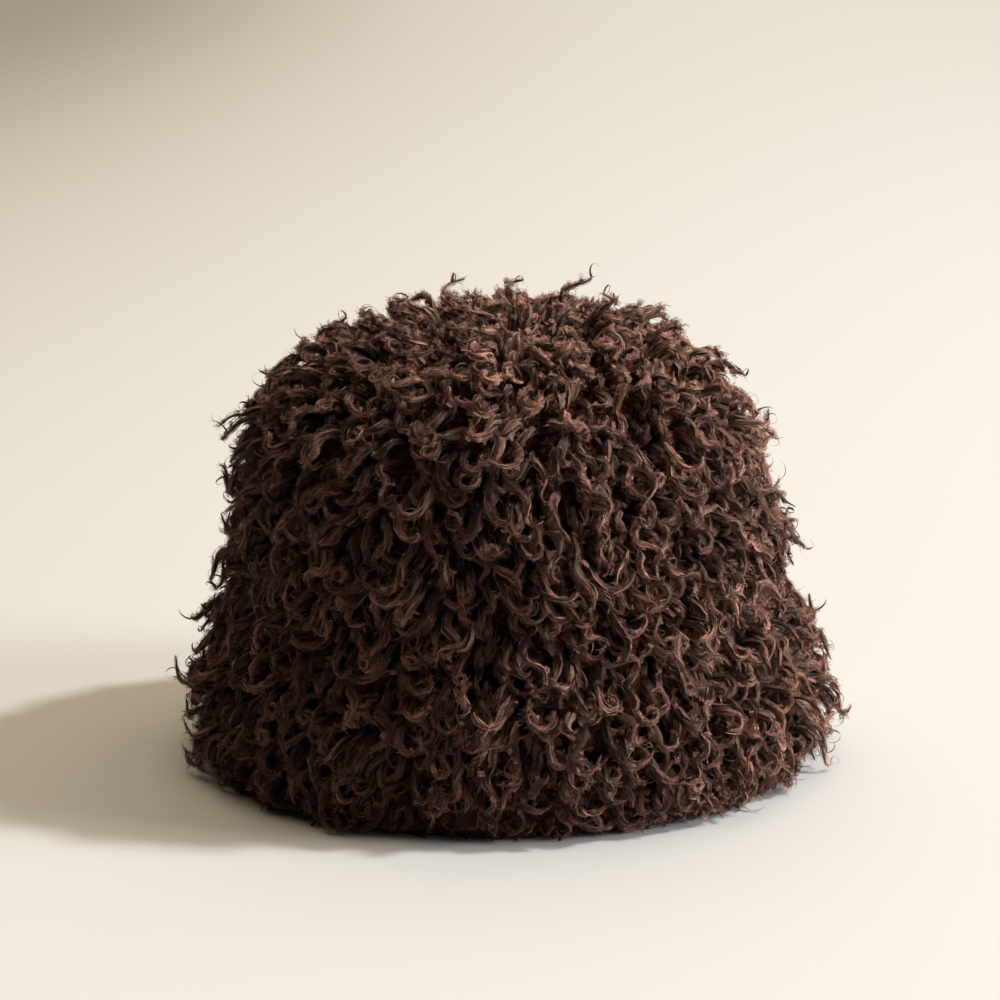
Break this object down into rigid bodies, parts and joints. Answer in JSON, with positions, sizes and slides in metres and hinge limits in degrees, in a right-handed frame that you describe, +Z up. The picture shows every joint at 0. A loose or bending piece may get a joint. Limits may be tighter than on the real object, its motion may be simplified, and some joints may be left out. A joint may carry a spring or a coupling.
{
  "type": "faux fur bucket hat",
  "caption": "Soft bucket hat in deep curly faux fur, with a flat-topped rounded crown and a short flared brim that it stands on.",
  "frame": {"origin": "on the ground under the middle of the hat's outline, with the hat standing on its brim's hem", "axes": "+Z up through the crown, -Y towards the viewer of the picture, +X to the viewer's right"},
  "size_m": [0.292, 0.293, 0.2042],
  "materials": {
    "tip_fur": "dark brown curly faux fur, long pile",
    "side_fur": "dark brown curly faux fur, long pile",
    "brim_fur": "dark brown curly faux fur, long pile"
  },
  "bodies": {
    "root": {"crown_tip": "tip_fur", "crown_side": "side_fur", "brim": "brim_fur"}
  },
  "joints": []
}
